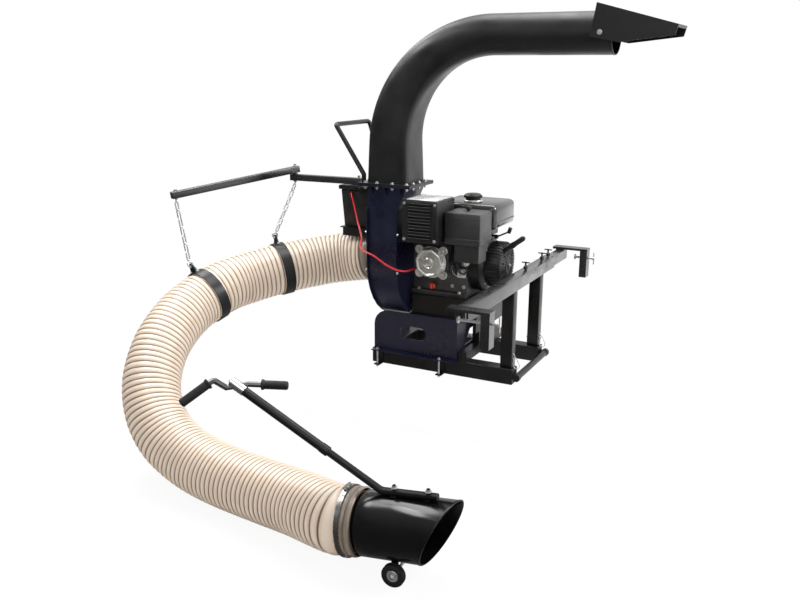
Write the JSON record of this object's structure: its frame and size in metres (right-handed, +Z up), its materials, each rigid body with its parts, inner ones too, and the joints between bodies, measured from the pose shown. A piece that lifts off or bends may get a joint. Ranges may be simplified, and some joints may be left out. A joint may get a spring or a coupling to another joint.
{
  "type": "trailer-mounted leaf vacuum",
  "caption": "Leaf vacuum that clamps onto a trailer's boards: engine-driven fan, curved blow-out chute with hood, and a ribbed suction hose on a jointed boom with a wheeled hand nozzle.",
  "frame": {"origin": "middle of the front rail's underside", "axes": "+X along the crankshaft from the intake towards the recoil starter, +Y along the hitch beam away from the hose's turn, +Z up"},
  "size_m": [1.928, 1.9913, 1.758],
  "materials": {
    "black_steel": "satin black powder coat",
    "navy_steel": "satin navy powder coat",
    "black_plastic": "grained charcoal plastic",
    "engine_steel": "matt heat-resistant charcoal paint",
    "cast_aluminium": "as cast",
    "zinc_steel": "zinc plated",
    "chrome": "polished",
    "gloss_black": "gloss black",
    "gloss_plastic": "gloss black plastic",
    "rubber": "matt black rubber",
    "hose_wall": "cream, translucent, with a darker helix",
    "red_cable": "red insulation",
    "red_plastic": "red"
  },
  "bodies": {
    "machine": {"air_cleaner": "black_plastic", "base_frame": "black_steel", "battery_box": "black_plastic", "battery_cable": "red_cable", "battery_lid": "black_plastic", "battery_shelf": "black_steel", "boom_bracket": "black_steel", "carburettor": "cast_aluminium", "chassis_rail": "black_steel", "chute": "black_steel", "crankcase": "cast_aluminium", "cylinder": "cast_aluminium", "end_bar": "black_steel", "engine_deck": "black_steel", "fan_stand": "navy_steel", "front_post": "black_steel", "fuel_tank": "engine_steel", "hitch_beam": "black_steel", "hose_clamp_intake": "zinc_steel", "hose_clamp_nozzle": "zinc_steel", "hose_saddle_inner": "black_steel", "hose_saddle_outer": "black_steel", "intake_hose": "hose_wall", "intake_ring": "navy_steel", "lift_handle": "black_steel", "muffler": "engine_steel", "muffler_guard": "engine_steel", "nozzle": "gloss_black", "outlet_neck": "navy_steel", "pole_lower": "black_steel", "rear_post": "black_steel", "recoil_starter": "black_plastic", "valve_cover": "cast_aluminium", "volute_housing": "navy_steel"},
    "rotor": {"impeller": "zinc_steel", "crankshaft": "zinc_steel"},
    "hood": {"deflector_hood": "black_steel"},
    "inner_arm": {"boom_inner": "black_steel"},
    "outer_arm": {"boom_outer": "black_steel"},
    "inner_chain": {"chain_inner": "zinc_steel"},
    "outer_chain": {"chain_outer": "zinc_steel"},
    "near_hook": {"hook_near": "black_steel"},
    "far_hook": {"hook_far": "black_steel"},
    "near_clamp_screw": {"clamp_screw_near": "zinc_steel"},
    "far_clamp_screw": {"clamp_screw_far": "zinc_steel"},
    "t_screw_1": {"beam_screw_1": "black_steel"},
    "t_screw_2": {"beam_screw_2": "black_steel"},
    "t_screw_3": {"beam_screw_3": "black_steel"},
    "tank_cap": {"fuel_cap": "gloss_plastic"},
    "oil_filler_cap": {"oil_cap": "red_plastic"},
    "cleaner_knob": {"air_cleaner_knob": "rubber"},
    "throttle": {"throttle_lever": "black_steel"},
    "starter_handle": {"pull_handle": "rubber"},
    "upper_pole": {"pole_upper": "black_steel"},
    "bar": {"bar_fitting": "chrome", "handlebar": "black_steel", "grip_left": "rubber", "grip_right": "rubber"},
    "near_wheel": {"wheel_near": "rubber"},
    "far_wheel": {"wheel_far": "rubber"}
  },
  "joints": [
    {"name": "rotor_spin", "type": "hinge", "parent": "machine", "child": "rotor", "pos_m": [0, 0.14, 0.46], "axis": [1, 0, 0], "continuous": true},
    {"name": "hood_tilt", "type": "hinge", "parent": "machine", "child": "hood", "pos_m": [0.625, -0.045, 1.375], "axis": [0, 1, 0], "range_deg": [-25, 20]},
    {"name": "inner_arm_swing", "type": "hinge", "parent": "machine", "child": "inner_arm", "pos_m": [-0.43, 0.045, 0.766], "axis": [0, 0, 1], "range_deg": [-20, 20]},
    {"name": "outer_arm_swing", "type": "hinge", "parent": "inner_arm", "child": "outer_arm", "pos_m": [-0.75, 0.03, 0.8143], "axis": [0, 0, 1], "range_deg": [-40, 40]},
    {"name": "inner_chain_swing", "type": "hinge", "parent": "inner_arm", "child": "inner_chain", "pos_m": [-0.75159, 0.02465, 0.74406], "axis": [1, 0, 0], "range_deg": [-25, 25]},
    {"name": "outer_chain_swing", "type": "hinge", "parent": "outer_arm", "child": "outer_chain", "pos_m": [-1.00798, -0.46259, 0.70703], "axis": [1, 0, 0], "range_deg": [-25, 25]},
    {"name": "near_hook_slide", "type": "slide", "parent": "machine", "child": "near_hook", "axis": [0, -1, 0], "range_m": [0, 0.2]},
    {"name": "far_hook_slide", "type": "slide", "parent": "machine", "child": "far_hook", "axis": [0, 1, 0], "range_m": [-0.08, 0.06]},
    {"name": "near_clamp_feed", "type": "slide", "parent": "near_hook", "child": "near_clamp_screw", "axis": [1, 0, 0], "range_m": [-0.018, 0.08]},
    {"name": "far_clamp_feed", "type": "slide", "parent": "far_hook", "child": "far_clamp_screw", "axis": [1, 0, 0], "range_m": [-0.018, 0.02]},
    {"name": "t_screw_1_turn", "type": "hinge", "parent": "machine", "child": "t_screw_1", "pos_m": [0.291, 0.185, 0.438], "axis": [0, 0, 1], "continuous": true},
    {"name": "t_screw_2_turn", "type": "hinge", "parent": "machine", "child": "t_screw_2", "pos_m": [0.291, 0.4, 0.438], "axis": [0, 0, 1], "continuous": true},
    {"name": "t_screw_3_turn", "type": "hinge", "parent": "machine", "child": "t_screw_3", "pos_m": [0.291, 0.487, 0.438], "axis": [0, 0, 1], "continuous": true},
    {"name": "tank_cap_turn", "type": "hinge", "parent": "machine", "child": "tank_cap", "pos_m": [0.072, 0.12, 0.722], "axis": [0, 0, 1], "range_deg": [0, 90]},
    {"name": "oil_cap_turn", "type": "hinge", "parent": "machine", "child": "oil_filler_cap", "pos_m": [-0.055, 0.02, 0.368], "axis": [0, -1, 0], "continuous": true},
    {"name": "cleaner_knob_turn", "type": "hinge", "parent": "machine", "child": "cleaner_knob", "pos_m": [0.118, -0.035, 0.704], "axis": [0, 0, 1], "continuous": true},
    {"name": "throttle_swing", "type": "hinge", "parent": "machine", "child": "throttle", "pos_m": [0.172, 0.15, 0.574], "axis": [1, 0, 0], "range_deg": [-25, 25]},
    {"name": "starter_pull", "type": "slide", "parent": "machine", "child": "starter_handle", "axis": [0.8, 0, 0.6], "range_m": [0, 0.5], "stiffness_N_per_m": 12, "springref_m": -0.05},
    {"name": "pole_telescope", "type": "slide", "parent": "machine", "child": "upper_pole", "axis": [-0.8685, -0.1005, 0.4854], "range_m": [0, 0.1]},
    {"name": "bar_twist", "type": "hinge", "parent": "upper_pole", "child": "bar", "pos_m": [-0.195, -1.11, 0.248], "axis": [-0.8685, -0.1005, 0.4854], "range_deg": [-30, 30]},
    {"name": "near_wheel_spin", "type": "hinge", "parent": "machine", "child": "near_wheel", "pos_m": [0.34877, -1.05051, -0.247], "axis": [0.0698, -0.9976, 0], "continuous": true},
    {"name": "far_wheel_spin", "type": "hinge", "parent": "machine", "child": "far_wheel", "pos_m": [0.34877, -1.05051, -0.247], "axis": [0.0698, -0.9976, 0], "continuous": true}
  ]
}
